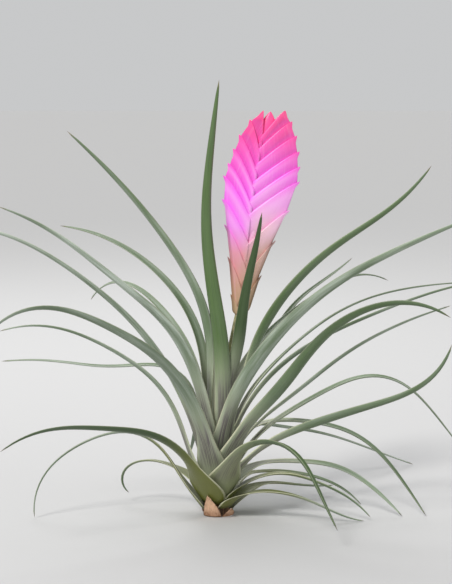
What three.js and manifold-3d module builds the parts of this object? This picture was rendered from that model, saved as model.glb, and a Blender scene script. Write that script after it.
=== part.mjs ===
// Pink quill in flower, picked and stood on its stem base.
// Millimetres, +Z up, the side seen in the photograph faces -Y.
import * as THREE from 'three';
import { mergeVertices } from 'three/addons/utils/BufferGeometryUtils.js';
import Module from 'manifold-3d';

const wasm = await Module();
wasm.setup();

// Stem base: a short cone that the leaves sit round.
const STEM_HEIGHT = 52;
const STEM_FOOT_RADIUS = 9;
const STEM_TOP_RADIUS = 3.2;

// Leaf spiral: the golden angle, one step up the stem per leaf.
const GOLDEN_ANGLE = 137.508;
const FIRST_ANGLE = 37.5;
const FIRST_HEIGHT = 3;
const LEAF_PITCH = 1.32;
const LEAF_CLEARANCE = 0.95;

// Leaf section: half thickness at the middle and at the edges, and how the sheath turns into a blade.
const LEAF_HALF_MIDDLE = 0.5;
const LEAF_HALF_EDGE = 0.32;
const SHEATH_SWELLS = [1.9, 1.3, 0.65, 0.4, -0.05, -0.84];
const SHEATH_CENTRE = 12;
const SHEATH_SPREAD = 17;
const SHEATH_HALF_WRAP = 56;
const BLEND_START = 16;
const BLEND_END = 52;
const CHANNEL_HALF_ANGLE = 58;
const ROLL_START = 20;
const ROLL_END = 95;
const STATION_SPACING = 18;
const CELLS_ACROSS = 4;

// Leaves from the outermost in: place in the spiral, turn away from it, length, width,
// slopes in degrees at the base, quarter, half, three quarters and tip, sideways sweep and roll.
const LEAVES = [
  [0, 0, 90, 7, [50, 10, -10, -10, -2], -5, 0],
  [1, 5.2, 163, 6.5, [52, 54, -8, -42, -97.1], 10, 10],
  [2, 9.9, 97, 7.5, [54, 10, -13, -25, -9], 39, -20],
  [3, -20.6, 112, 6.5, [55, 7, -5, -18, -44.9], -90, 10],
  [4, 15, 184, 10, [57, 43, 14, 4, -31], -34, 35],
  [5, -15, 105, 8.5, [59, 19, -12, -25, -48], -5, -25],
  [6, 3, 85, 6, [60, 23, 5, -39, -147], 17, 20],
  [7, 4.5, 152, 12.5, [62, 41, 7, -52, -56], 38, -20],
  [8, -23.9, 134, 8, [63, 6, -4, -31, -41.7], -61, 25],
  [9, 5.3, 190, 8.5, [65, 70, 39, 20, -18], -15, 20],
  [10, 0.5, 185, 13.5, [66, 31, 21, 26, 76], 12, -40],
  [11, -15, 170, 8, [68, 30, -15, -40, -35], 5, 0],
  [12, 6.5, 244, 13, [69, 58, 34, 15, -60], -49, 30],
  [13, -14.5, 208, 7.5, [70, 34, 19, -43, -53], -1, 10],
  [14, -3, 189, 6.5, [71, 84, 1, 9, -4], 30, -10],
  [15, 6.1, 210, 15.5, [72, 47, 52, 22, -32], 44, -40],
  [16, -11, 218, 7, [73, -5, -14, -22, -21.1], -32, 10],
  [17, 0.5, 260, 9, [74, 63, 44, 29, -6], -25, 28],
  [18, -0.2, 186, 7, [75, 41, 40, 28, 18], 0, -25],
  [19, -5.9, 189, 8.5, [76, 75, 46, 18, -54], 16, -25],
  [20, 19.3, 262, 13, [77, 55, 42, 28, 24], 55, -45],
  [21, -10, 171, 8, [79, 9, -13, -46, -53.4], -61, 10],
  [23, 11, 225, 7, [78, 52, 29, 21, 10], 25, -25],
  [24, -4, 180, 7.5, [80, 60, 5, -30, -40], 0, 0],
  [25, 5.5, 236, 11.5, [76.5, 67, 41, 38, 21], -39, 28],
  [26, 7.5, 219, 6.5, [81, 48, 32, 10, 0], 0, -15],
  [27, -11.5, 212, 9, [79.5, 85, 48, 24, 3], 12, -30],
  [28, 3.5, 242, 14.5, [72, 97, 97, 85, 83], 70, -75],
  [29, -7.7, 188, 6, [80.5, 40, 45, 22, 26], -11, 15],
  [30, -21.5, 235, 14.5, [87, 89, 61, 50, 43], -1, 35],
  [31, 31.5, 232, 14, [73.5, 70, 49, 34, 56], -12, -45],
  [33, 90, 153, 13.5, [90.1, 77.2, 84.6, 76, 80.4], -7, -84],
  [34, 19, 204, 7, [87, 46, 26, 17, -25], -12, 10],
];

// Papery dead sheaths round the foot: angle, height of the lower edge, radius there, lean, length and width.
const DRY_SHEATHS = [
  [252, 0.5, 10.7, 72, 16, 13],
  [311, 0.5, 11.6, 58, 8, 10],
  [128, 0.5, 9.7, 62, 13, 12],
];
const DRY_HALF_THICKNESS = 0.35;

// Flower stalk, from the top of the stem base to the foot of the spike.
const STALK_POINTS = [[0, 0, 52.8], [1.4, 2.2, 66], [6.4, 6.4, 95], [14.2, 7.6, 125.7]];
const STALK_RADIUS = 2.8;

// Flower spike: a flat paddle of folded bracts in two ranks.
const SPIKE_FOOT = [14.6, 7.6, 126.8];
const SPIKE_TIP = [35.8, 6.3, 265];
const SPIKE_CENTRE_SHIFT = -4.2;
const SPIKE_HALF_THICKNESS = 4.2;
const SPIKE_WIDEST = 24.6;
const SPIKE_LENGTH = 140;
const SPIKE_HALF_WIDTHS = [5, 8.6, 13.4, 19, 23.4, 23.8, 19.6, 5];
const BRACT_RINGS = 7;
const BRACT_CELLS = 3;
const BRACT_EDGE_HALF = 0.4;
const BRACT_LIFT = 0.6;
const BRACT_DIVE = 0.11;
const BRACT_DEEPEST = -1.5;
const BRACT_MARGIN_DROPS = [30, 30, 29, 28, 26, 25, 22, 19];
const BRACT_MARGIN_BOWS = { left: 1.35, right: 1.2 };
const BRACT_CROSSING = 1;
const BRACT_TUCK = 1.6;
const BRACT_HOOK = 5;
const BRACT_SWING = 0.3;
// Bracts from the lowest up: side (+1 is right), height of the tip up the spike, reach and length.
const BRACTS = [
  [-1, 14.8, 8.3, 14.2],
  [1, 29.9, 9.6, 30.6],
  [-1, 38.6, 13.9, 37],
  [1, 53.4, 15.1, 44],
  [-1, 58.9, 19.2, 46],
  [1, 74.3, 21.1, 46],
  [-1, 75, 23.2, 44],
  [-1, 89.9, 24.5, 42],
  [1, 93.2, 24.5, 42],
  [-1, 98.1, 22.7, 40],
  [1, 102.7, 23.2, 40],
  [-1, 107.8, 20.8, 38],
  [1, 112.1, 21.3, 38],
  [-1, 117.1, 18.4, 36],
  [1, 121.8, 18.1, 36],
  [-1, 127.6, 13, 34],
  [1, 130.3, 13.6, 34],
  [-1, 134.4, 5.4, 32],
  [1, 136.5, 8.3, 32],
];
// Young bracts at the top, as one bud: half widths and heights from the tip down.
const BUD_OUTLINE = [[0, 134.5], [1.8, 132.4], [3.6, 129.4], [5.8, 124], [7.2, 116], [6, 106], [0, 104]];
const BUD_FLATNESS = 0.5;
const BUD_SHIFT = -0.8;
const CORE_HEIGHT = 120;

const group = new THREE.Group();
group.name = 'pink_quill';

const radians = (degrees) => degrees * Math.PI / 180;

// Value on a smooth curve through evenly spaced numbers, at a share of its length.
function along(values, share) {
  const last = values.length - 1;
  const x = Math.min(Math.max(share, 0), 1) * last;
  const i = Math.min(last - 1, Math.floor(x));
  const f = x - i;
  const a = values[i];
  const b = values[i + 1];
  const before = i > 0 ? values[i - 1] : 2 * a - b;
  const after = i < last - 1 ? values[i + 2] : 2 * b - a;
  const m0 = (b - before) / 2;
  const m1 = (after - a) / 2;
  const f2 = f * f;
  const f3 = f2 * f;
  return (2 * f3 - 3 * f2 + 1) * a + (f3 - 2 * f2 + f) * m0 + (3 * f2 - 2 * f3) * b + (f3 - f2) * m1;
}

function smoothStep(x, from, to) {
  const t = Math.min(Math.max((x - from) / (to - from), 0), 1);
  return t * t * (3 - 2 * t);
}

function addNode(geometry, name, slot, colour, roughness) {
  const material = new THREE.MeshStandardMaterial({ color: colour, roughness, metalness: 0 });
  material.name = slot;
  const mesh = new THREE.Mesh(geometry, material);
  mesh.name = name;
  group.add(mesh);
}

// Closed sheet from a grid of middle points: both faces cut into the same triangles.
function sheetGeometry(grid, halfThickness) {
  const rows = grid.length;
  const columns = grid[0].length;
  const positions = [];
  const front = [];
  const back = [];
  for (let i = 0; i < rows; i += 1) {
    for (let j = 0; j < columns; j += 1) {
      const across = grid[i][Math.min(j + 1, columns - 1)].clone().sub(grid[i][Math.max(j - 1, 0)]);
      const forward = grid[Math.min(i + 1, rows - 1)][j].clone().sub(grid[Math.max(i - 1, 0)][j]);
      const normal = across.cross(forward).normalize();
      const half = halfThickness(i, j);
      front.push(grid[i][j].clone().addScaledVector(normal, half));
      back.push(grid[i][j].clone().addScaledVector(normal, -half));
    }
  }
  const points = front.concat(back);
  points.forEach((p) => positions.push(p.x, p.y, p.z));
  const indices = [];
  const at = (i, j) => i * columns + j;
  const behind = rows * columns;
  for (let i = 0; i < rows - 1; i += 1) {
    for (let j = 0; j < columns - 1; j += 1) {
      const a = at(i, j);
      const b = at(i, j + 1);
      const c = at(i + 1, j + 1);
      const d = at(i + 1, j);
      indices.push(a, b, c, a, c, d);
      indices.push(behind + a, behind + c, behind + b, behind + a, behind + d, behind + c);
    }
  }
  const rim = [];
  for (let j = 0; j < columns - 1; j += 1) rim.push([at(0, j), at(0, j + 1)]);
  for (let i = 0; i < rows - 1; i += 1) rim.push([at(i, columns - 1), at(i + 1, columns - 1)]);
  for (let j = columns - 1; j > 0; j -= 1) rim.push([at(rows - 1, j), at(rows - 1, j - 1)]);
  for (let i = rows - 1; i > 0; i -= 1) rim.push([at(i, 0), at(i - 1, 0)]);
  rim.forEach(([a, b]) => indices.push(a, behind + b, b, a, behind + a, behind + b));
  const geometry = new THREE.BufferGeometry();
  geometry.setAttribute('position', new THREE.Float32BufferAttribute(positions, 3));
  geometry.setIndex(indices);
  geometry.computeVertexNormals();
  return geometry;
}

function stemRadius(height) {
  return STEM_FOOT_RADIUS + (STEM_TOP_RADIUS - STEM_FOOT_RADIUS) * height / STEM_HEIGHT;
}

// Stem base.
const stemProfile = [
  new THREE.Vector2(0, 0),
  new THREE.Vector2(STEM_FOOT_RADIUS - 0.6, 0),
  new THREE.Vector2(STEM_FOOT_RADIUS, 0.6),
  new THREE.Vector2(STEM_TOP_RADIUS, STEM_HEIGHT),
  new THREE.Vector2(0, STEM_HEIGHT),
];
const stem = new THREE.LatheGeometry(stemProfile, 20).rotateX(Math.PI / 2);
addNode(stem, 'stem_base', 'stem_bark', 0x6b4a2c, 0.85);

// Leaves: each starts as part of a ring round the stem and opens into a channelled blade.
LEAVES.forEach(([place, turn, length, width, slopes, sweep, roll], index) => {
  const angle = FIRST_ANGLE + GOLDEN_ANGLE * place + turn;
  const height = FIRST_HEIGHT + LEAF_PITCH * place;
  const radius = stemRadius(height) + LEAF_CLEARANCE;
  const middle = new THREE.Vector3(
    radius * Math.cos(radians(angle)), radius * Math.sin(radians(angle)), height);
  const stations = Math.max(8, Math.round(length / STATION_SPACING));
  const grid = [];
  for (let i = 0; i <= stations; i += 1) {
    const share = i / stations;
    const run = share * length;
    const slope = radians(along(slopes, share));
    const heading = radians(angle + sweep * share * (2 - share));
    const swell = 1 + along(SHEATH_SWELLS, place / 34) * Math.exp(-(((run - SHEATH_CENTRE) / SHEATH_SPREAD) ** 2));
    const wide = width * swell * (0.94 * (1 - share) ** 0.75 + 0.06);
    const ring = Math.max(1, Math.hypot(middle.x, middle.y));
    const bearing = Math.atan2(middle.y, middle.x);
    const wrap = Math.min(wide / 2 / ring, radians(SHEATH_HALF_WRAP));
    const channel = wide / 2 / radians(CHANNEL_HALF_ANGLE);
    const open = smoothStep(run, BLEND_START, BLEND_END);
    const side = new THREE.Vector3(-Math.sin(heading), Math.cos(heading), 0);
    const up = new THREE.Vector3(
      -Math.sin(slope) * Math.cos(heading), -Math.sin(slope) * Math.sin(heading), Math.cos(slope));
    const course = new THREE.Vector3().crossVectors(side, up).negate();
    const rolled = radians(roll) * smoothStep(run, ROLL_START, ROLL_END);
    side.applyAxisAngle(course, -rolled);
    up.applyAxisAngle(course, -rolled);
    const row = [];
    for (let j = 0; j <= CELLS_ACROSS; j += 1) {
      const u = 2 * j / CELLS_ACROSS - 1;
      const ringPoint = new THREE.Vector3(
        ring * Math.cos(bearing + wrap * u), ring * Math.sin(bearing + wrap * u), middle.z);
      const bend = radians(CHANNEL_HALF_ANGLE) * u;
      const bladePoint = middle.clone()
        .addScaledVector(side, channel * Math.sin(bend))
        .addScaledVector(up, channel * (1 - Math.cos(bend)));
      row.push(ringPoint.lerp(bladePoint, open));
    }
    grid.push(row);
    const steps = 6;
    for (let n = 0; n < steps; n += 1) {
      const ahead = Math.min(1, share + (n + 0.5) / steps / stations);
      const rise = radians(along(slopes, ahead));
      const turned = radians(angle + sweep * ahead * (2 - ahead));
      const step = length / stations / steps;
      middle.x += step * Math.cos(rise) * Math.cos(turned);
      middle.y += step * Math.cos(rise) * Math.sin(turned);
      middle.z += step * Math.sin(rise);
    }
  }
  const half = (i, j) => {
    const u = Math.abs(2 * j / CELLS_ACROSS - 1);
    return LEAF_HALF_MIDDLE + (LEAF_HALF_EDGE - LEAF_HALF_MIDDLE) * u;
  };
  const name = `leaf_${String(index + 1).padStart(2, '0')}`;
  addNode(sheetGeometry(grid, half), name, 'leaf', 0x6f7d5a, 0.55);
});

// Dead sheaths: short pointed scales standing just outside the lowest leaves.
DRY_SHEATHS.forEach(([angle, height, radius, lean, length, width], index) => {
  const grid = [];
  const stations = 5;
  for (let i = 0; i <= stations; i += 1) {
    const share = i / stations;
    const ring = radius + share * length * Math.cos(radians(lean));
    const level = height + share * length * Math.sin(radians(lean));
    const half = width / 2 / ring * (1 - 0.8 * share ** 2.2);
    const row = [];
    for (let j = 0; j <= 4; j += 1) {
      const bearing = radians(angle) + half * (j / 2 - 1);
      row.push(new THREE.Vector3(ring * Math.cos(bearing), ring * Math.sin(bearing), level));
    }
    grid.push(row);
  }
  addNode(sheetGeometry(grid, () => DRY_HALF_THICKNESS), `dry_sheath_${index + 1}`, 'dry_sheath', 0xd9a878, 0.8);
});

// Flower stalk.
const stalkCurve = new THREE.CatmullRomCurve3(STALK_POINTS.map((p) => new THREE.Vector3(...p)));
const stalkShape = new THREE.Shape();
stalkShape.absarc(0, 0, STALK_RADIUS, 0, Math.PI * 2, false);
const stalk = new THREE.ExtrudeGeometry(stalkShape, {
  steps: 10, curveSegments: 10, bevelEnabled: false, extrudePath: stalkCurve,
});
addNode(stalk, 'flower_stalk', 'stalk', 0x8d8f58, 0.6);

// Half width of the spike at a height up it.
function spikeHalfWidth(height) {
  return along(SPIKE_HALF_WIDTHS, height / SPIKE_LENGTH);
}

// Distance of one side's row of tips from the middle line, read between neighbouring tips.
function spikeEdge(side, height) {
  let low = [0, SPIKE_HALF_WIDTHS[0]];
  for (const [rank, tipHeight, reach] of BRACTS) {
    if (rank !== side) continue;
    if (tipHeight >= height) {
      return low[1] + (reach - low[1]) * Math.max(0, height - low[0]) / (tipHeight - low[0]);
    }
    low = [tipHeight, reach];
  }
  return low[1];
}

// Half thickness of the spike at a height and a distance from its middle line.
function spikeBody(height, across) {
  const wide = spikeHalfWidth(height);
  const thick = SPIKE_HALF_THICKNESS * (0.4 + 0.6 * wide / SPIKE_WIDEST);
  return thick * Math.sqrt(Math.max(0, 1 - (across / (wide + 1)) ** 2));
}

// One bract: an open fold with its keel outward, filled inside so the ranks join.
// Its upper margin runs from the tip in and down to the middle line, where it lies over the next bracts.
function bractGeometry(side, tipHeight, reach, length) {
  const foot = tipHeight - length;
  const crossing = BRACT_CROSSING - side * SPIKE_CENTRE_SHIFT;
  const drop = Math.min(along(BRACT_MARGIN_DROPS, tipHeight / SPIKE_LENGTH), length - 1);
  const bow = side > 0 ? BRACT_MARGIN_BOWS.right : BRACT_MARGIN_BOWS.left;
  const marginStart = 1 - drop / length;
  const marginHeight = (across) => {
    const inward = Math.min(Math.max((reach - across) / (reach + crossing), 0), 1);
    return tipHeight - drop * inward ** bow;
  };
  const positions = [];
  for (let i = 0; i <= BRACT_RINGS; i += 1) {
    const q = i / BRACT_RINGS;
    const keelHeight = foot + length * q;
    const hooked = smoothStep(keelHeight, tipHeight - BRACT_HOOK, tipHeight);
    const swing = Math.sin(Math.min(1, q / BRACT_SWING) * Math.PI / 2);
    const keelAcross = (spikeEdge(side, keelHeight) - BRACT_TUCK * (1 - hooked)) * swing;
    const past = Math.max(0, (q - marginStart) / (1 - marginStart));
    const marginAcross = Math.min(keelAcross, -crossing + (reach + crossing) * past);
    const marginUp = past > 0 ? marginHeight(marginAcross) : keelHeight;
    const ring = [];
    for (let j = 0; j <= BRACT_CELLS; j += 1) {
      const p = j / BRACT_CELLS;
      const across = keelAcross + (marginAcross - keelAcross) * p;
      const up = keelHeight + (marginUp - keelHeight) * p;
      const under = Math.max(0, marginHeight(across) - up);
      const lift = Math.max(BRACT_DEEPEST, BRACT_LIFT - BRACT_DIVE * under);
      ring.push([side * across, Math.max(BRACT_EDGE_HALF, spikeBody(up, across) + lift), up]);
    }
    ring.forEach(([x, y, z]) => positions.push(x, -y, z));
    ring.reverse().forEach(([x, y, z]) => positions.push(x, y, z));
  }
  const size = 2 * (BRACT_CELLS + 1);
  const indices = [];
  const quad = (a, b, c, d) => {
    if (side > 0) indices.push(a, b, c, a, c, d);
    else indices.push(a, c, b, a, d, c);
  };
  for (let i = 0; i < BRACT_RINGS; i += 1) {
    for (let j = 0; j < size; j += 1) {
      const k = (j + 1) % size;
      quad(i * size + j, (i + 1) * size + j, (i + 1) * size + k, i * size + k);
    }
  }
  for (let j = 0; j < BRACT_CELLS; j += 1) {
    const opposite = size - 1 - j;
    const top = BRACT_RINGS * size;
    quad(j, j + 1, opposite - 1, opposite);
    quad(top + opposite, top + opposite - 1, top + j + 1, top + j);
  }
  const geometry = new THREE.BufferGeometry();
  geometry.setAttribute('position', new THREE.Float32BufferAttribute(positions, 3));
  geometry.setIndex(indices);
  return geometry;
}

function toManifold(geometry) {
  const bare = geometry.clone();
  bare.deleteAttribute('normal');
  bare.deleteAttribute('uv');
  const merged = mergeVertices(bare, 1e-4);
  return new wasm.Manifold(new wasm.Mesh({
    numProp: 3,
    vertProperties: new Float32Array(merged.getAttribute('position').array),
    triVerts: new Uint32Array(merged.getIndex().array),
  }));
}

function fromManifold(solid) {
  const mesh = solid.getMesh();
  const geometry = new THREE.BufferGeometry();
  geometry.setAttribute('position', new THREE.Float32BufferAttribute(mesh.vertProperties, 3));
  geometry.setIndex(new THREE.Uint32BufferAttribute(mesh.triVerts, 1));
  geometry.computeVertexNormals();
  return geometry;
}

// Core of the spike, then every bract let into it.
const core = new THREE.CylinderGeometry(2, 3.6, CORE_HEIGHT, 10).rotateX(Math.PI / 2);
core.translate(0, 0, CORE_HEIGHT / 2);
const budProfile = BUD_OUTLINE.map(([x, z]) => new THREE.Vector2(x, z)).reverse();
const bud = new THREE.LatheGeometry(budProfile, 10).rotateX(Math.PI / 2);
bud.scale(1, BUD_FLATNESS, 1).translate(BUD_SHIFT, 0, 0);
let spikeSolid = toManifold(core).add(toManifold(bud));
BRACTS.forEach(([side, tipHeight, reach, length]) => {
  spikeSolid = spikeSolid.add(toManifold(bractGeometry(side, tipHeight, reach, length)));
});
const foot = new THREE.Vector3(...SPIKE_FOOT);
const axis = new THREE.Vector3(...SPIKE_TIP).sub(foot).normalize();
const frontFace = new THREE.Vector3(0, 1, 0);
const across = frontFace.clone().cross(axis).normalize();
const depth = axis.clone().cross(across).normalize();
const stand = new THREE.Matrix4().makeBasis(across, depth, axis).setPosition(foot);
const spike = fromManifold(spikeSolid).applyMatrix4(stand);
addNode(spike, 'flower_spike', 'bract', 0xf25fc4, 0.5);

export default group;
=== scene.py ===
import random
from math import atan2, cos, exp, floor, hypot, pi, radians, sin, sqrt

import bmesh
import bpy
from mathutils import Matrix, Vector, noise


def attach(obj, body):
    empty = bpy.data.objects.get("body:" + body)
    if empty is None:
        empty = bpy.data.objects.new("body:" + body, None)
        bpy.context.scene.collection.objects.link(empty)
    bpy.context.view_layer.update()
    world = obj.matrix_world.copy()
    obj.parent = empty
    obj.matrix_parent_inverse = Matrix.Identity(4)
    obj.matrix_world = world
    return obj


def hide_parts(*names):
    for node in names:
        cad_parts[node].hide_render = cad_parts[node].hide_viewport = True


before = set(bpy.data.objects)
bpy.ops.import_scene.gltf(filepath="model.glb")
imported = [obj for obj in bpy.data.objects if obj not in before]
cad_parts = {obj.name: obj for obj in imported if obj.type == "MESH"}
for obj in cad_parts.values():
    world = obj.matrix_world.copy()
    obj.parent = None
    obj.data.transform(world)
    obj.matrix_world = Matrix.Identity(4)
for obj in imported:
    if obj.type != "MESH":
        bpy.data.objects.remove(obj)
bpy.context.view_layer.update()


# Stem base: the short woody foot that every leaf grows from, cut level underneath.
# Its bark is brown and fibrous, and shows only between the lowest sheaths.
MM = 0.001
STEM_HEIGHT = 52
STEM_FOOT_RADIUS = 9
STEM_TOP_RADIUS = 3.2
STEM_ROUNDING = 0.7
STEM_INSET = 0.1
STEM_LEVELS = 8, 20, 32, 44, 51.4
STEM_TOP = STEM_HEIGHT - 0.05
STEM_SIDES = 40
SEAM_WIDTH = 2e-6
BARK_DARK = (0.045, 0.022, 0.010, 1)
BARK_LIGHT = (0.21, 0.115, 0.055, 1)
BARK_RELIEF = 0.6, 0.0006


class Flow:
    """A socket of a material that can be added, multiplied and so on like a number."""

    def __init__(self, tree, socket=None):
        self.tree = tree
        self.socket = socket

    def node(self, kind, settings, inputs, output=0):
        """The output of a new node, with its settings made first and then its inputs."""
        made = self.tree.nodes.new("ShaderNode" + kind)
        for name, value in settings.items():
            if name == "stops":
                ramp = made.color_ramp.elements
                while len(ramp) < len(value):
                    ramp.new(1)
                for element, (place, colour) in zip(ramp, value):
                    element.position = place
                    element.color = colour
            else:
                setattr(made, name, value)
        for name, value in inputs.items():
            if isinstance(value, Flow):
                self.tree.links.new(value.socket, made.inputs[name])
            else:
                made.inputs[name].default_value = value
        return Flow(self.tree, made.outputs[output])

    def maths(self, operation, first, second):
        return self.node("Math", {"operation": operation}, {0: first, 1: second})

    def __add__(self, other):
        return self.maths("ADD", self, other)

    def __radd__(self, other):
        return self.maths("ADD", other, self)

    def __sub__(self, other):
        return self.maths("SUBTRACT", self, other)

    def __rsub__(self, other):
        return self.maths("SUBTRACT", other, self)

    def __mul__(self, other):
        return self.maths("MULTIPLY", self, other)

    def __rmul__(self, other):
        return self.maths("MULTIPLY", other, self)

    def rise(self, low, high):
        """0 below low, 1 above high and smooth between."""
        return self.node("MapRange", {"interpolation_type": "SMOOTHSTEP"},
                         {"Value": self, "From Min": low, "From Max": high})

    def mix(self, first, second):
        """From the first colour at 0 to the second at 1."""
        return self.node("Mix", {"data_type": "RGBA"}, {0: self, 6: first, 7: second}, 2)

    def parts(self):
        """The three numbers of a vector, each as a Flow."""
        split = self.node("SeparateXYZ", {}, {"Vector": self})
        return [Flow(self.tree, socket) for socket in split.socket.node.outputs]

    def stored(self, name):
        """The three numbers that a piece's corners hold under this name."""
        return self.node("Attribute", {"attribute_name": name}, {}, 1).parts()


def new_material(name, roughness=0.5):
    """A material, its shader and a Flow that starts nodes in it."""
    made = bpy.data.materials.new(name)
    made.use_nodes = True
    shader = made.node_tree.nodes["Principled BSDF"]
    shader.inputs["Roughness"].default_value = roughness
    return made, shader, Flow(made.node_tree)


def feed(flow, shader, **values):
    """Links flows to the shader's inputs, named with underlines for spaces."""
    for name, value in values.items():
        flow.tree.links.new(value.socket, shader.inputs[name.replace("_", " ")])


def lengthwise(flow, stretch, scale, detail):
    """Noise by the place on the piece, drawn out along its height."""
    place = flow.node("TexCoord", {}, {}, 3)
    drawn = flow.node("Mapping", {}, {"Vector": place, "Scale": (1, 1, stretch)})
    return flow.node("TexNoise", {}, {"Vector": drawn, "Scale": scale, "Detail": detail})


def relief(flow, height, strength, depth):
    """The bump that a height makes, with its strength and its depth in metres."""
    return flow.node("Bump", {}, {"Height": height, "Strength": strength, "Distance": depth})


def close_up(bm):
    """Joins doubled corners, fills open ends and turns the faces outwards."""
    bmesh.ops.remove_doubles(bm, verts=bm.verts, dist=SEAM_WIDTH)
    bmesh.ops.holes_fill(bm, edges=[e for e in bm.edges if e.is_boundary], sides=0)
    bmesh.ops.recalc_face_normals(bm, faces=bm.faces)


def new_piece(name, bm, material, slot, *nodes):
    """Turns a bmesh into a smooth piece that stands for these nodes and rides on the root."""
    for face in bm.faces:
        face.smooth = True
    mesh = bpy.data.meshes.new(name)
    bm.to_mesh(mesh)
    bm.free()
    mesh.materials.append(material)
    piece = bpy.data.objects.new(name, mesh)
    bpy.context.scene.collection.objects.link(piece)
    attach(piece, "root")
    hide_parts(*nodes)


def stem_radius(height):
    return STEM_FOOT_RADIUS + (STEM_TOP_RADIUS - STEM_FOOT_RADIUS) * height / STEM_HEIGHT


bark, bark_shader, flow = new_material("fibrous_bark", roughness=0.85)
fibre = lengthwise(flow, stretch=0.12, scale=900.0, detail=4.0)
feed(flow, bark_shader, Base_Color=fibre.rise(0.35, 0.7).mix(BARK_DARK, BARK_LIGHT),
     Normal=relief(flow, fibre, *BARK_RELIEF))

bm = bmesh.new()
profile = [
    (0, 0), (STEM_FOOT_RADIUS - STEM_ROUNDING, 0), (STEM_FOOT_RADIUS - STEM_INSET, STEM_ROUNDING),
    *((stem_radius(level) - STEM_INSET, level) for level in STEM_LEVELS),
    (STEM_TOP_RADIUS - STEM_ROUNDING - STEM_INSET, STEM_TOP), (0, STEM_TOP),
]
points = [bm.verts.new((x * MM, 0, z * MM)) for x, z in profile]
edges = [bm.edges.new(pair) for pair in zip(points, points[1:])]
bmesh.ops.spin(bm, geom=points + edges, cent=(0, 0, 0), axis=(0, 0, 1), dvec=(0, 0, 0),
               angle=2 * pi, steps=STEM_SIDES, use_merge=True)
close_up(bm)
new_piece("stem_foot", bm, bark, "stem_bark", "stem_base")


# Leaves: each grows from the stem as part of a ring, opens into a channel and narrows to a point.
# The blade is tough and ribbed lengthwise, with thin pale margins and grey scales, laid on thicker
# on some leaves as a painted silvery sheen, and the sheath is striped purple. They follow one
# spiral, a golden angle apart.
FIRST_ANGLE = 37.5
GOLDEN_ANGLE = 137.508
FIRST_HEIGHT = 3
LEAF_PITCH = 1.32
LAST_PLACE = 34
LEAF_CLEARANCE = 0.95
# Thickness, and how the width tapers to the tip, with margins that grow a little past the solid's.
LEAF_HALF_THICKNESS = 0.46
MARGIN_GROWTH = 0.8
MARGIN_FADE = 0.15
TAPER_POWER = 0.75
TIP_WIDTH = 0.06
POINT_SHARE = 0.04
# The sheath's extra width, from the lowest leaf to the youngest, and where along the leaf it lies.
SHEATH_SWELLS = [1.9, 1.3, 0.65, 0.4, -0.05, -0.84]
SHEATH_CENTRE = 12
SHEATH_SPREAD = 17
SHEATH_HALF_WRAP = 56
# How far up the ring of the sheath opens into the blade's channel, and where the blade rolls over.
BLEND_START = 16
BLEND_END = 52
CHANNEL_HALF_ANGLE = 58
ROLL_START = 20
ROLL_END = 95
# How finely a leaf is drawn: the solid's stations along it, and how many steps each is cut into.
STATION_SPACING = 18
FEWEST_STATIONS = 8
FINER = 4
SUBSTEPS = 6
CELLS_ACROSS = 12
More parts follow.
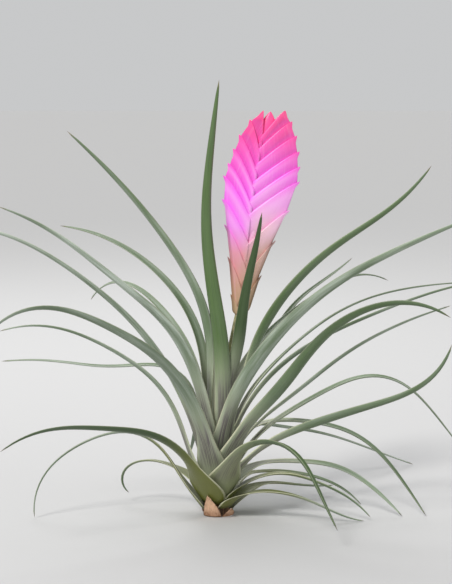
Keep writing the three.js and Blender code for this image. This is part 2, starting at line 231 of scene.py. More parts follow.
# Place in the spiral, turn, length, width, five slopes, sweep, roll, then scales with a painted
# silvery sheen, and brightness.
LEAVES = [
    [0, 0, 90, 7, [50, 10, -10, -10, -2], -5, 0, 0.5, 0.6],
    [1, 5.2, 163, 6.5, [52, 54, -8, -42, -97.1], 10, 10, 0.75, 0.5],
    [2, 9.9, 97, 7.5, [54, 10, -13, -25, -9], 39, -20, 0.75, 0.6],
    [3, -20.6, 112, 6.5, [55, 7, -5, -18, -44.9], -90, 10, 0.45, 0.6],
    [4, 15, 184, 10, [57, 43, 14, 4, -31], -34, 35, 0.1, 0.3],
    [5, -15, 105, 8.5, [59, 19, -12, -25, -48], -5, -25, 0.35, 0.6],
    [6, 3, 85, 6, [60, 23, 5, -39, -147], 17, 20, 0.3, 0.45],
    [7, 4.5, 152, 12.5, [62, 41, 7, -52, -56], 38, -20, 0.12, 0.5],
    [8, -23.9, 134, 8, [63, 6, -4, -31, -41.7], -61, 25, 0.75, 0.55],
    [9, 5.3, 190, 8.5, [65, 70, 39, 20, -18], -15, 20, 0.85, 0.6],
    [10, 0.5, 185, 13.5, [66, 31, 21, 26, 76], 12, -40, 0.3, 0.65],
    [11, -15, 170, 8, [68, 30, -15, -40, -35], 5, 0, 0.4, 0.4],
    [12, 6.5, 244, 13, [69, 58, 34, 15, -60], -49, 30, 0.6, 0.5],
    [13, -14.5, 208, 7.5, [70, 34, 19, -43, -53], -1, 10, 0.7, 0.5],
    [14, -3, 189, 6.5, [71, 84, 1, 9, -4], 30, -10, 1.0, 0.6],
    [15, 6.1, 210, 15.5, [72, 47, 52, 22, -32], 44, -40, 0.2, 0.65],
    [16, -11, 218, 7, [73, -5, -14, -22, -21.1], -32, 10, 0.8, 0.5],
    [17, 0.5, 260, 9, [74, 63, 44, 29, -6], -25, 28, 0.95, 0.6],
    [18, -0.2, 186, 7, [75, 41, 40, 28, 18], 0, -25, 0.8, 0.5],
    [19, -5.9, 189, 8.5, [76, 75, 46, 18, -54], 16, -25, 0.75, 0.5],
    [20, 19.3, 262, 13, [77, 55, 42, 28, 24], 55, -45, 0.75, 0.65],
    [21, -10, 171, 8, [79, 9, -13, -46, -53.4], -61, 10, 0.5, 0.45],
    [23, 11, 225, 7, [78, 52, 29, 21, 10], 25, -25, 0.5, 0.5],
    [24, -4, 180, 7.5, [80, 60, 5, -30, -40], 0, 0, 0.5, 0.4],
    [25, 5.5, 236, 11.5, [76.5, 67, 41, 38, 21], -39, 28, 1.2, 0.75],
    [26, 7.5, 219, 6.5, [81, 48, 32, 10, 0], 0, -15, 0.55, 0.5],
    [27, -11.5, 212, 9, [79.5, 85, 48, 24, 3], 12, -30, 0.5, 0.4],
    [28, 3.5, 242, 14.5, [72, 97, 97, 85, 83], 70, -75, 0.06, 0.95],
    [29, -7.7, 188, 6, [80.5, 40, 45, 22, 26], -11, 15, 0.4, 0.45],
    [30, -21.5, 235, 14.5, [87, 89, 61, 50, 43], -1, 35, 0.55, 0.75],
    [31, 31.5, 232, 14, [73.5, 70, 49, 34, 56], -12, -45, 0.15, 0.8],
    [33, 90, 153, 13.5, [90.1, 77.2, 84.6, 76, 80.4], -7, -84, 0.04, 0.3],
    [34, 19, 204, 7, [87, 46, 26, 17, -25], -12, 10, 0.45, 0.45],
]


def along(values, share):
    """The value at a share of a smooth curve through evenly spaced numbers."""
    last = len(values) - 1
    x = min(max(share, 0), 1) * last
    i = min(last - 1, floor(x))
    f = x - i
    a, b = values[i], values[i + 1]
    before = values[i - 1] if i > 0 else 2 * a - b
    after = values[i + 2] if i < last - 1 else 2 * b - a
    return ((2 * f ** 3 - 3 * f ** 2 + 1) * a + (f ** 3 - 2 * f ** 2 + f) * (b - before) / 2
            + (3 * f ** 2 - 2 * f ** 3) * b + (f ** 3 - f ** 2) * (after - a) / 2)


def smooth_step(x, low, high):
    t = min(max((x - low) / (high - low), 0), 1)
    return t * t * (3 - 2 * t)


def leaf_sections(spot, turn, length, width, slopes, sweep, roll):
    """Rows of middle points across the leaf, from its foot to its tip, with the run of each."""
    angle = FIRST_ANGLE + GOLDEN_ANGLE * spot + turn
    height = FIRST_HEIGHT + LEAF_PITCH * spot
    radius = stem_radius(height) + LEAF_CLEARANCE
    middle = Vector((radius * cos(radians(angle)), radius * sin(radians(angle)), height))
    stations = FINER * max(FEWEST_STATIONS, floor(length / STATION_SPACING + 0.5))
    rows = []
    for i in range(stations + 1):
        share = i / stations
        run = share * length
        slope = radians(along(slopes, share))
        heading = radians(angle + sweep * share * (2 - share))
        bulge = exp(-(((run - SHEATH_CENTRE) / SHEATH_SPREAD) ** 2))
        swell = 1 + along(SHEATH_SWELLS, spot / LAST_PLACE) * bulge
        taper = (1 - TIP_WIDTH) * (1 - share) ** TAPER_POWER + TIP_WIDTH
        wide = width * swell * taper * sqrt(min(1, (1 - share) / POINT_SHARE))
        wide += MARGIN_GROWTH * min(1, (1 - share) / MARGIN_FADE)
        ring = max(1, hypot(middle.x, middle.y))
        bearing = atan2(middle.y, middle.x)
        wrap = min(wide / 2 / ring, radians(SHEATH_HALF_WRAP))
        channel = wide / 2 / radians(CHANNEL_HALF_ANGLE)
        opened = smooth_step(run, BLEND_START, BLEND_END)
        side = Vector((-sin(heading), cos(heading), 0))
        up = Vector((-sin(slope) * cos(heading), -sin(slope) * sin(heading), cos(slope)))
        rolled = radians(roll) * smooth_step(run, ROLL_START, ROLL_END)
        tilt = Matrix.Rotation(-rolled, 3, -side.cross(up))
        side.rotate(tilt)
        up.rotate(tilt)
        row = []
        for j in range(CELLS_ACROSS + 1):
            u = 2 * j / CELLS_ACROSS - 1
            bend = radians(CHANNEL_HALF_ANGLE) * u
            place_round = bearing + wrap * u
            ring_point = Vector((ring * cos(place_round), ring * sin(place_round), middle.z))
            blade_point = middle + side * channel * sin(bend) + up * channel * (1 - cos(bend))
            row.append(ring_point.lerp(blade_point, opened))
        rows.append((run, wide, row))
        for n in range(SUBSTEPS):
            ahead = min(1, share + (n + 0.5) / SUBSTEPS / stations)
            rise = radians(along(slopes, ahead))
            turned = radians(angle + sweep * ahead * (2 - ahead))
            course = Vector((cos(rise) * cos(turned), cos(rise) * sin(turned), sin(rise)))
            middle += length / stations / SUBSTEPS * course
    return rows


def new_strap(*layers):
    """An empty bmesh with a UV map, and layers that hold a vector for each corner."""
    bm = bmesh.new()
    bm.loops.layers.uv.new("UVMap")
    return bm, [bm.verts.layers.float_vector.new(name) for name in layers]


def closed_strap(bm, columns, rows, place_of):
    """A grid wrapped into a flat tube; place_of gives each corner its point."""
    made = bmesh.ops.create_grid(bm, x_segments=columns, y_segments=rows, size=0.5, calc_uvs=True)
    verts = made["verts"]
    low = min(v.co.x for v in verts), min(v.co.y for v in verts)
    high = max(v.co.x for v in verts), max(v.co.y for v in verts)
    for v in verts:
        j = round((v.co.x - low[0]) / (high[0] - low[0]) * columns)
        i = round((v.co.y - low[1]) / (high[1] - low[1]) * rows)
        place_of(v, i, j)
    return verts


def fibres(flow, values, rates, scale=1.0, detail=3.0, roughness=0.5):
    """Noise drawn out by the rate at which each of these values runs through it."""
    places = {way: value * rate for way, value, rate in zip("XYZ", values, rates)}
    spot = flow.node("CombineXYZ", {}, places)
    return flow.node("TexNoise", {}, {"Vector": spot, "Scale": scale, "Detail": detail,
                                      "Roughness": roughness})


LEAF_DEEP = (0.014, 0.036, 0.007, 1)
LEAF_FRESH = (0.085, 0.175, 0.028, 1)
LEAF_UNDER = (0.095, 0.150, 0.058, 1)
SCALES_AND_SHEEN_GREY = (0.55, 0.62, 0.54, 1)
SHEATH_PALE = (0.46, 0.50, 0.36, 1)
SHEATH_OLIVE = (0.17, 0.18, 0.035, 1)
SHEATH_PURPLE = (0.10, 0.07, 0.095, 1)
MARGIN_PALE = (0.64, 0.64, 0.46, 1)
TIP_BROWN = (0.19, 0.12, 0.06, 1)

# How fast the ribs, the broad patches and the specks run through the noise: across the leaf and
# along it, by the mm, and by age, so that no two leaves are alike.
RIB_RATES = 2.0, 0.03, 60.0
PATCH_RATES = 0.3, 0.025, 90.0
SPECK_RATES = 3.0, 1.2, 40.0
LEAF_RELIEF = 0.4, 0.0004

# Runs along the leaf, in mm, over which the sheath's colours come and go, and the same by age,
# from 0 for the lowest leaf to 1 for the youngest.
SHEATH_FADES = 28.0, 82.0
PURPLE_STARTS = 10.0, 24.0
PURPLE_ENDS = 36.0, 60.0
PALE_AGES = 0.12, 0.28
PURPLE_AGES = 0.10, 0.28
DULL_AGES = 0.1, 0.25

# Where round the section the faces meet, where the purple ends and the margin starts between the
# middle line at 0 and the edge at 1, and where the dry tip starts between the foot and the tip.
FACES_MEET = 0.49, 0.51
PURPLE_EDGE = 0.5, 0.85
MARGIN_BAND = 0.84, 0.98
DRY_TIP = 0.965, 1.0

# Roughness of a clean leaf, and what the grey film and the dullness of the younger leaves add.
LEAF_ROUGHNESS = 0.30
SCURF_ROUGHNESS = 0.4
DULL_ROUGHNESS = 0.1

leaf_material, leaf_shader, flow = new_material("ribbed_leaf")
across_mm, run_mm, edge = flow.stored("grain")
scale_and_sheen_amount, bright, age = flow.stored("kind")
round_about, share_up, _ = flow.node("UVMap", {"uv_map": "UVMap"}, {}).parts()
inner_face = round_about.rise(*FACES_MEET)
grain = across_mm, run_mm, age
ribs = fibres(flow, grain, RIB_RATES, roughness=0.6)
broad = fibres(flow, grain, PATCH_RATES, detail=2.0)
specks = fibres(flow, grain, SPECK_RATES, scale=2.0, detail=2.0)

# The green of each face, darker between the ribs.
underside = (bright * 0.7 + 0.15).mix(LEAF_DEEP, LEAF_UNDER)
green = (0.55 - inner_face * 0.55).mix(bright.mix(LEAF_DEEP, LEAF_FRESH), underside)
green = (ribs.rise(0.42, 0.72) * 0.45).mix(green, LEAF_DEEP)

# The film of grey scales over it, in broad patches, along the ribs and in specks, laid on thicker
# on some leaves as a painted silvery sheen.
scurf_and_sheen = 0.5 + ribs.rise(0.35, 0.62) * 0.3 + specks.rise(0.45, 0.7) * 0.2
scurf_and_sheen = scale_and_sheen_amount * (0.35 + broad.rise(0.3, 0.7) * 0.65) * scurf_and_sheen
green = (scurf_and_sheen * (1.0 - inner_face * 0.2)).mix(green, SCALES_AND_SHEEN_GREY)

# The sheath, its purple stripes, the margins and the dry tip.
sheath = 1.0 - run_mm.rise(*SHEATH_FADES)
colour = (sheath * 0.85).mix(green, age.rise(*PALE_AGES).mix(SHEATH_OLIVE, SHEATH_PALE))
purple = run_mm.rise(*PURPLE_STARTS) * (1.0 - run_mm.rise(*PURPLE_ENDS)) * age.rise(*PURPLE_AGES)
purple = purple * (0.3 + ribs.rise(0.44, 0.58) * 0.55) * (1.0 - edge.rise(*PURPLE_EDGE))
colour = purple.mix(colour, SHEATH_PURPLE)
colour = (edge.rise(*MARGIN_BAND) * (0.3 + sheath * 0.7)).mix(colour, MARGIN_PALE)
colour = (share_up.rise(*DRY_TIP) * 0.8).mix(colour, TIP_BROWN)
feed(flow, leaf_shader, Base_Color=colour,
     Roughness=LEAF_ROUGHNESS + scurf_and_sheen * SCURF_ROUGHNESS + age.rise(*DULL_AGES) * DULL_ROUGHNESS,
     Normal=relief(flow, ribs * 0.7 + specks * 0.3, *LEAF_RELIEF))

for number, (*form, scale_and_sheen_share, brightness) in enumerate(LEAVES, 1):
    rows = leaf_sections(*form)
    last = len(rows) - 1
    own_age = form[0] / LAST_PLACE
    bm, (grain_layer, kind_layer) = new_strap("grain", "kind")

    def place_leaf(v, i, j):
        facing = 1 if j <= CELLS_ACROSS else -1
        cell = j if facing > 0 else 2 * CELLS_ACROSS - j
        u = 2 * cell / CELLS_ACROSS - 1
        run, wide, row = rows[i]
        crosswise = row[min(cell + 1, CELLS_ACROSS)] - row[max(cell - 1, 0)]
        onward = rows[min(i + 1, last)][2][cell] - rows[max(i - 1, 0)][2][cell]
        normal = crosswise.cross(onward).normalized()
        thick = LEAF_HALF_THICKNESS * sqrt(max(0, 1 - u * u)) * (1 if i < last else 0)
        v.co = (row[cell] + normal * thick * facing) * MM
        v[grain_layer] = (u * wide / 2, run, abs(u))
        v[kind_layer] = (scale_and_sheen_share, brightness, own_age)

    closed_strap(bm, 2 * CELLS_ACROSS, last, place_leaf)
    close_up(bm)
    new_piece("leaf_blade_%02d" % number, bm, leaf_material, "leaf", "leaf_%02d" % number)


# Dead sheaths: papery scales left by the oldest leaves, standing round the foot of the stem.
# They are thin, dry and veined, torn at the top and brown at the foot and along the edges.
DRY_HALF_THICKNESS = 0.16
DRY_CELLS = 14
DRY_ROWS = 22
DRY_TEAR = 2.2
DRY_NICK = 0.14
DRY_POINT = 0.93
DRY_POINT_POWER = 1.5
DRY_TWIST = 0.1
DRY_CRINKLE = 0.3
CRINKLES_ACROSS = 2.5
CRINKLES_UP = 4
DRY_SEED = 7
# Angle round the stem, height of the lower edge, radius there, lean, length and width.
DRY_SHEATHS = [
    [252, 0.5, 10.7, 72, 16, 13],
    [311, 0.5, 11.6, 58, 8, 10],
    [128, 0.5, 9.7, 62, 13, 12],
]
PAPER_PALE = (0.68, 0.43, 0.28, 1)
PAPER_BROWN = (0.20, 0.085, 0.035, 1)
# Rates across and up for the veins and blotches, the mm over which the foot's brown fades, and
# where the brown of the edge starts between the middle line at 0 and the edge at 1.
VEIN_RATES = 1.8, 0.12
BLOTCH_RATES = 0.35, 0.3
PAPER_RELIEF = 0.5, 0.0005
BROWN_FOOT = 0.5, 6.0
BROWN_EDGE = 0.8, 1.0

paper, paper_shader, flow = new_material("papery_sheath", roughness=0.75)
paper_across, paper_rise, paper_edge = flow.stored("grain")
veins = fibres(flow, (paper_across, paper_rise), VEIN_RATES, detail=4.0)
blotches = fibres(flow, (paper_across, paper_rise), BLOTCH_RATES)
brown = veins.rise(0.45, 0.75) * 0.4 + blotches.rise(0.45, 0.7) * 0.35
brown = brown + (1.0 - paper_rise.rise(*BROWN_FOOT)) * 0.55 + paper_edge.rise(*BROWN_EDGE) * 0.3
feed(flow, paper_shader, Base_Color=brown.mix(PAPER_PALE, PAPER_BROWN),
     Normal=relief(flow, veins, *PAPER_RELIEF))

chance = random.Random(DRY_SEED)
for number, (angle, height, radius, lean, length, width) in enumerate(DRY_SHEATHS, 1):
    tears = [chance.uniform(0, DRY_TEAR) for _ in range(DRY_CELLS + 1)]
    nicks = [chance.uniform(0, DRY_NICK) for _ in range(DRY_ROWS + 1)]
    bm, (grain_layer,) = new_strap("grain")

    def place_paper(v, i, j):
        facing = 1 if j <= DRY_CELLS else -1
        cell = j if facing > 0 else 2 * DRY_CELLS - j
        u = 2 * cell / DRY_CELLS - 1
        share = i / DRY_ROWS
        ring = radius + share * length * cos(radians(lean))
        half = width / 2 / ring * (1 - DRY_POINT * share ** DRY_POINT_POWER - nicks[i] * share)
        bearing = radians(angle) + half * u - DRY_TWIST * share * share
        level = height + share * length * sin(radians(lean)) - tears[cell] * share ** 3
        crinkle = noise.noise(Vector((u * CRINKLES_ACROSS, share * CRINKLES_UP, number)))
        thick = DRY_HALF_THICKNESS * sqrt(max(0, 1 - u * u)) * facing + DRY_CRINKLE * crinkle
        v.co = Vector(((ring + thick) * cos(bearing), (ring + thick) * sin(bearing), level)) * MM
        v[grain_layer] = (half * ring * u, share * length, abs(u))

    closed_strap(bm, 2 * DRY_CELLS, DRY_ROWS, place_paper)
    close_up(bm)
    new_piece("paper_sheath_%d" % number, bm, paper, "dry_sheath", "dry_sheath_%d" % number)


# Flower stalk: a round, firm green stem, finely lined with cream, between the inner leaves.
# It grows out of the top of the stem base and widens a little where the spike sits on it.
STALK_POINTS = [(0, 0, 52.8), (1.4, 2.2, 66), (6.4, 6.4, 95), (15, 7.6, 129.5)]
STALK_RADIUS = 2.7
STALK_FLARE = 0.7
FLARE_START = 0.8
STALK_LOOK_AHEAD = 0.01
STALK_STEPS = 40
STALK_SIDES = 24
STALK_GREEN = (0.20, 0.22, 0.09, 1)
STALK_CREAM = (0.55, 0.48, 0.27, 1)
STALK_RELIEF = 0.3, 0.0004

stalk_material, stalk_shader, flow = new_material("stalk_skin")
lines = lengthwise(flow, stretch=0.08, scale=1200.0, detail=3.0)
feed(flow, stalk_shader, Base_Color=lines.rise(0.35, 0.65).mix(STALK_GREEN, STALK_CREAM),
     Normal=relief(flow, lines, *STALK_RELIEF))


def stalk_point(share):
    return Vector([along([point[k] for point in STALK_POINTS], share) for k in range(3)])


def place_stalk(v, i, j):
    share = i / STALK_STEPS
    middle = stalk_point(share)
    onward = stalk_point(share + STALK_LOOK_AHEAD) - stalk_point(share - STALK_LOOK_AHEAD)
    onward.normalize()
    side = onward.cross(Vector((0, 1, 0))).normalized()
    front = side.cross(onward)
    turn = 2 * pi * j / STALK_SIDES
    radius = STALK_RADIUS + STALK_FLARE * smooth_step(share, FLARE_START, 1)
    v.co = (middle + (side * cos(turn) + front * sin(turn)) * radius) * MM


bm, _ = new_strap()
closed_strap(bm, STALK_SIDES, STALK_STEPS, place_stalk)
close_up(bm)
new_piece("stalk", bm, stalk_material, "stalk", "flower_stalk")


# Flower spike: a flat paddle of folded bracts in two ranks that grow from one core, each lying
# over the foot of the next, with a bud of young ones at the top. They are waxy and pink, redder at
# the top and cream at the foot, and the lower ones are browned along their keels.
SPIKE_FOOT = Vector((14.6, 7.6, 126.8))
SPIKE_TIP = Vector((35.8, 6.3, 265))
SPIKE_CENTRE_SHIFT = -4.2
SHIFT_RISE = 40, 105
TUCK_RISE = 20, 70
SPIKE_HALF_THICKNESS = 4.2
SPIKE_WIDEST = 24.6
SPIKE_THINNEST = 0.4
SPIKE_EDGE_ROOM = 1
SPIKE_LENGTH = 140
SPIKE_HALF_WIDTHS = [5, 8.6, 13.4, 19, 23.4, 23.8, 19.6, 5]
# One bract: how finely it is drawn, how it lifts off the next and puffs up between the margins,
# how far its upper margin drops to the middle line, and how its keel tucks in below the tip.
BRACT_RINGS = 44
BRACT_CELLS = 12
BRACT_EDGE_HALF = 0.12
BRACT_LIFT = 0.6
BRACT_DIVE = 0.11
BRACT_DEEPEST = -1.5
BRACT_PUFF = 0.45
BRACT_PUFF_RAMP = 4
BRACT_MARGIN_DROPS = [12, 19, 26, 28, 26, 25, 22, 19]
BRACT_MARGIN_BOWS = {-1: 1.35, 1: 1.2}
BRACT_CROSSING = 1
BRACT_TUCK = 1.6
BRACT_LEAST_TUCK = 0.3
BRACT_HOOK = 5
BRACT_SWING = 0.3
# Bracts from the lowest up: side (1 is right), height of the tip up the spike, reach and length.
BRACTS = [
    [-1, 14.8, 8.3, 14.2], [1, 29.9, 9.6, 30.6], [-1, 38.6, 13.9, 37], [1, 53.4, 15.1, 44],
    [-1, 58.9, 19.2, 46], [1, 74.3, 21.1, 46], [-1, 75, 23.2, 44], [-1, 89.9, 24.5, 42],
    [1, 93.2, 24.5, 42], [-1, 98.1, 22.7, 40], [1, 102.7, 23.2, 40], [-1, 107.8, 20.8, 38],
    [1, 112.1, 21.3, 38], [-1, 117.1, 18.4, 36], [1, 121.8, 18.1, 36], [-1, 127.6, 13, 34],
    [1, 130.3, 13.6, 34], [-1, 134.4, 5.4, 32], [1, 136.5, 8.3, 32],
]
# The bud's half widths and heights from its foot up, and the core that the bracts grow from.
BUD_OUTLINE = [
    [0, 104], [3.4, 104.6], [6, 106], [6.8, 111], [7.2, 116], [6.7, 120.4], [5.8, 124],
    [4.8, 126.8], [3.6, 129.4], [2.7, 131], [1.8, 132.4], [0.9, 133.6], [0, 134.5],
]
BUD_SIDES = 24
BUD_FLATNESS = 0.5
BUD_SHIFT = -0.8
CORE_FOOT_RADIUS = 3.5
CORE_TOP_RADIUS = 2
CORE_DEPTH = 118
CORE_MIDDLE = 60
CORE_SIDES = 20
KEEL_FAR = 9
# Colours up the spike's left and right ranks.
LEFT_PINKS = [
    (0.00, (0.55, 0.42, 0.24, 1)), (0.14, (0.66, 0.36, 0.26, 1)), (0.30, (0.80, 0.32, 0.42, 1)),
    (0.42, (0.92, 0.26, 0.90, 1)), (0.57, (0.97, 0.16, 0.90, 1)), (0.72, (0.96, 0.11, 0.62, 1)),
    (0.86, (0.93, 0.075, 0.34, 1)), (1.00, (0.90, 0.065, 0.20, 1)),
]
RIGHT_PINKS = [
    (0.00, (0.50, 0.38, 0.22, 1)), (0.16, (0.56, 0.36, 0.24, 1)), (0.32, (0.72, 0.46, 0.40, 1)),
    (0.44, (0.94, 0.58, 0.72, 1)), (0.55, (0.96, 0.38, 0.88, 1)), (0.68, (0.97, 0.18, 0.82, 1)),
    (0.84, (0.95, 0.10, 0.44, 1)), (1.00, (0.90, 0.07, 0.22, 1)),
]
# Painted shade where one bract lies over the next.
OVERLAP_SHADE_PURPLE = (0.48, 0.06, 0.40, 1)
EDGE_BROWN = (0.16, 0.085, 0.045, 1)
# The pink of each strip's painted highlight, also used for the pale veins.
HIGHLIGHT_AND_VEIN_PINK = (1.0, 0.60, 0.95, 1)
# Rates from the keel, along the bract and from bract to bract for the veins.
BRACT_VEIN_RATES = 1.1, 0.06, 80.0
BRACT_RELIEF = 0.2, 0.0005
# The mm across the spike where one rank's colours meet the other's, and the shares of its height
# over which the painted highlight bands come and go and the browned keels end.
RANKS_MEET = -9.0, 5.0
LIGHT_STARTS = 0.25, 0.5
LIGHT_ENDS = 0.6, 0.85
BROWN_ENDS = 0.30, 0.58
# Shares of a bract's open strip, from its own margin to the next one's, over which its painted
# highlight band comes and goes and the painted shade of the overlap starts, and the width in mm of
# a browned keel.
HIGHLIGHT_BAND_STARTS = 0.05, 0.35
HIGHLIGHT_BAND_ENDS = 0.35, 0.75
OVERLAP_SHADE_STARTS = 0.72, 1.05
KEEL_BAND = 0.2, 2.2


def spike_half_width(height):
    return along(SPIKE_HALF_WIDTHS, height / SPIKE_LENGTH)


def spike_edge(side, height):
    low = (0, SPIKE_HALF_WIDTHS[0])
    for rank, tip_height, reach, _ in BRACTS:
        if rank != side:
            continue
        if tip_height >= height:
            return low[1] + (reach - low[1]) * max(0, height - low[0]) / (tip_height - low[0])
        low = (tip_height, reach)
    return low[1]


def spike_body(height, across):
    wide = spike_half_width(height)
    thick = SPIKE_HALF_THICKNESS * (SPIKE_THINNEST + (1 - SPIKE_THINNEST) * wide / SPIKE_WIDEST)
    return thick * sqrt(max(0, 1 - (across / (wide + SPIKE_EDGE_ROOM)) ** 2))


bract_material, bract_shader, flow = new_material("waxy_bract", roughness=0.38)
across_spike, height_mm, strip = flow.stored("spot")
from_keel, length_mm, own = flow.stored("fold")
height_share = height_mm * (1 / SPIKE_LENGTH)
left = flow.node("ValToRGB", {"stops": LEFT_PINKS}, {"Fac": height_share})
right = flow.node("ValToRGB", {"stops": RIGHT_PINKS}, {"Fac": height_share})
pink = across_spike.rise(*RANKS_MEET).mix(left, right)
veins = fibres(flow, (from_keel, length_mm, own), BRACT_VEIN_RATES)

# A painted highlight band on each bract's open strip, painted shade where the bract below lies over
# it, and pale veins.
lit_zone = height_share.rise(*LIGHT_STARTS) * (1.0 - height_share.rise(*LIGHT_ENDS))
painted_highlight = strip.rise(*HIGHLIGHT_BAND_STARTS) * (1.0 - strip.rise(*HIGHLIGHT_BAND_ENDS)) * lit_zone * 0.3
pink = painted_highlight.mix(pink, HIGHLIGHT_AND_VEIN_PINK)
pink = (strip.rise(*OVERLAP_SHADE_STARTS) * 0.35).mix(pink, OVERLAP_SHADE_PURPLE)
pink = (veins.rise(0.5, 0.8) * 0.15).mix(pink, HIGHLIGHT_AND_VEIN_PINK)

# The browned keels of the lower bracts.
lower = 1.0 - height_share.rise(*BROWN_ENDS)
browned = lower * (1.0 - from_keel.rise(*KEEL_BAND)) * (0.35 + veins.rise(0.3, 0.7) * 0.5)
pink = browned.mix(pink, EDGE_BROWN)
feed(flow, bract_shader, Base_Color=pink, Normal=relief(flow, veins, *BRACT_RELIEF))

axis = (SPIKE_TIP - SPIKE_FOOT).normalized()
across_way = Vector((0, 1, 0)).cross(axis).normalized()
depth_way = axis.cross(across_way).normalized()
stand = Matrix((across_way, depth_way, axis)).transposed().to_4x4()
stand.translation = SPIKE_FOOT
bm, (spot_layer, fold_layer) = new_strap("spot", "fold")
around = 2 * (BRACT_CELLS + 1)
for number, (side, tip_height, reach, length) in enumerate(BRACTS):
    crossing = BRACT_CROSSING - side * SPIKE_CENTRE_SHIFT * smooth_step(tip_height, *SHIFT_RISE)
    tucked = smooth_step(tip_height, *TUCK_RISE)
    tuck = BRACT_TUCK * (BRACT_LEAST_TUCK + (1 - BRACT_LEAST_TUCK) * tucked)
    drop = min(along(BRACT_MARGIN_DROPS, tip_height / SPIKE_LENGTH), length - 1)
    bow = BRACT_MARGIN_BOWS[side]
    below = [row[1] for row in BRACTS[:number] if row[0] == side]
    spacing = tip_height - below[-1] if below else tip_height
    margin_start = 1 - drop / length

    def margin_height(across):
        inward = min(max((reach - across) / (reach + crossing), 0), 1)
        return tip_height - drop * inward ** bow

    def place_bract(v, i, j):
        j %= around
        front = j <= BRACT_CELLS
        p = (j if front else around - 1 - j) / BRACT_CELLS
        q = i / BRACT_RINGS
        keel_height = tip_height - length + length * q
        hooked = smooth_step(keel_height, tip_height - BRACT_HOOK, tip_height)
        swing = sin(min(1, q / BRACT_SWING) * pi / 2)
        keel_across = (spike_edge(side, keel_height) - tuck * (1 - hooked)) * swing
        past = max(0, (q - margin_start) / (1 - margin_start))
        margin_across = min(keel_across, -crossing + (reach + crossing) * past)
        margin_up = margin_height(margin_across) if past > 0 else keel_height
        across = keel_across + (margin_across - keel_across) * p
        up = keel_height + (margin_up - keel_height) * p
        under = max(0, margin_height(across) - up)
        strip = under / spacing
        inside = min(1, (keel_across - across) / BRACT_PUFF_RAMP)
        puff = BRACT_PUFF * sin(pi * min(1, strip)) * inside
        lift = max(BRACT_DEEPEST, BRACT_LIFT - BRACT_DIVE * under) + puff
        deep = max(BRACT_EDGE_HALF, spike_body(up, across) + lift)
        v.co = stand @ Vector((side * across, -deep if front else deep, up)) * MM
        v[spot_layer] = (side * across, up, strip)
        v[fold_layer] = (keel_across - across, length * q, number / len(BRACTS))

    verts = closed_strap(bm, around, BRACT_RINGS, place_bract)
    bmesh.ops.remove_doubles(bm, verts=verts, dist=SEAM_WIDTH)
bmesh.ops.holes_fill(bm, edges=[e for e in bm.edges if e.is_boundary], sides=0)
core = bmesh.ops.create_cone(bm, cap_ends=True, segments=CORE_SIDES, radius1=CORE_FOOT_RADIUS,
                             radius2=CORE_TOP_RADIUS, depth=CORE_DEPTH)["verts"]
bmesh.ops.translate(bm, verts=core, vec=(0, 0, CORE_MIDDLE))


def place_bud(v, i, j):
    radius, height = BUD_OUTLINE[i]
    turn = 2 * pi * j / BUD_SIDES
    v.co = (radius * cos(turn) + BUD_SHIFT, radius * sin(turn) * BUD_FLATNESS, height)


bud = closed_strap(bm, BUD_SIDES, len(BUD_OUTLINE) - 1, place_bud)
for v in core + bud:
    v[spot_layer] = (v.co.x, v.co.z, 0.5)
    v[fold_layer] = (KEEL_FAR, v.co.z, 0.5)
    v.co = stand @ v.co * MM
bmesh.ops.remove_doubles(bm, verts=bud, dist=SEAM_WIDTH)
bmesh.ops.recalc_face_normals(bm, faces=bm.faces)
new_piece("bracts", bm, bract_material, "bract", "flower_spike")


# Surface, light and camera: a plain pale table as bright as the space behind it, a soft sun for the
# key light, two softer lamps at the side and behind, and the photograph's view.
FLOOR_SIZE = 12
FLOOR_COLOUR = (0.52, 0.52, 0.522, 1)
floor_material, floor_shader, flow = new_material("pale_table", roughness=0.7)
floor_shader.inputs["Base Color"].default_value = FLOOR_COLOUR
bm = bmesh.new()
bmesh.ops.create_grid(bm, x_segments=1, y_segments=1, size=FLOOR_SIZE)
table_mesh = bpy.data.meshes.new("table")
bm.to_mesh(table_mesh)
bm.free()
table_mesh.materials.append(floor_material)
table_top = bpy.data.objects.new("table", table_mesh)
bpy.context.scene.collection.objects.link(table_top)

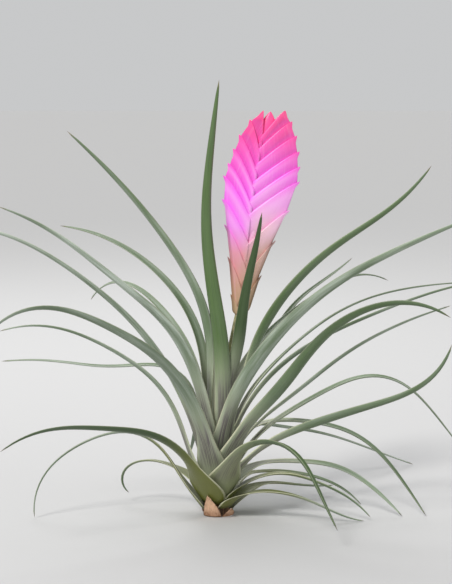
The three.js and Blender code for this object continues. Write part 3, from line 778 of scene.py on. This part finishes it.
# Name, kind, place, softness, strength and tint of each lamp; all of them point at the plant.
LAMP_TARGET = Vector((0, 0, 0.12))
LAMPS = [
    ("key", "SUN", (-0.6, -0.9, 1.2), 0.25, 2.3, (1.0, 0.98, 0.95)),
    ("fill", "AREA", (1.3, -0.9, 0.7), 0.9, 2.5, (0.95, 0.97, 1.0)),
    ("back", "AREA", (-0.3, 0.9, 1.2), 0.7, 8, (1.0, 1.0, 1.0)),
]
for name, kind, spot, softness, power, tint in LAMPS:
    lamp = bpy.data.lights.new(name, kind)
    if kind == "SUN":
        lamp.angle = softness
    else:
        lamp.size = softness
    lamp.energy = power
    lamp.color = tint
    holder = bpy.data.objects.new(name, lamp)
    holder.location = spot
    holder.rotation_mode = "QUATERNION"
    holder.rotation_quaternion = (Vector(spot) - LAMP_TARGET).to_track_quat("Z", "Y")
    bpy.context.scene.collection.objects.link(holder)

SKY_COLOUR = (0.96, 0.97, 0.98, 1)
SKY_STRENGTH = 0.6
sky = bpy.data.worlds.new("studio")
sky.use_nodes = True
sky_shader = sky.node_tree.nodes["Background"]
sky_shader.inputs["Color"].default_value = SKY_COLOUR
sky_shader.inputs["Strength"].default_value = SKY_STRENGTH
bpy.context.scene.world = sky
bpy.context.scene.view_settings.view_transform = "Standard"

# The camera, with its focal length in pixels of the photograph and that picture's long side.
VIEW_TARGET = Vector((0.0058, 0, 0.145))
VIEW_DISTANCE = 1.15
VIEW_ELEVATION = radians(7)
FOCAL_PIXELS = 1797
LONG_SIDE = 584
SENSOR = 36
camera_data = bpy.data.cameras.new("camera")
camera_data.sensor_width = SENSOR
camera_data.lens = FOCAL_PIXELS * SENSOR / LONG_SIDE
camera = bpy.data.objects.new("camera", camera_data)
back = Vector((0, -cos(VIEW_ELEVATION), sin(VIEW_ELEVATION)))
camera.location = VIEW_TARGET + back * VIEW_DISTANCE
camera.rotation_mode = "QUATERNION"
camera.rotation_quaternion = back.to_track_quat("Z", "Y")
bpy.context.scene.collection.objects.link(camera)
bpy.context.scene.camera = camera
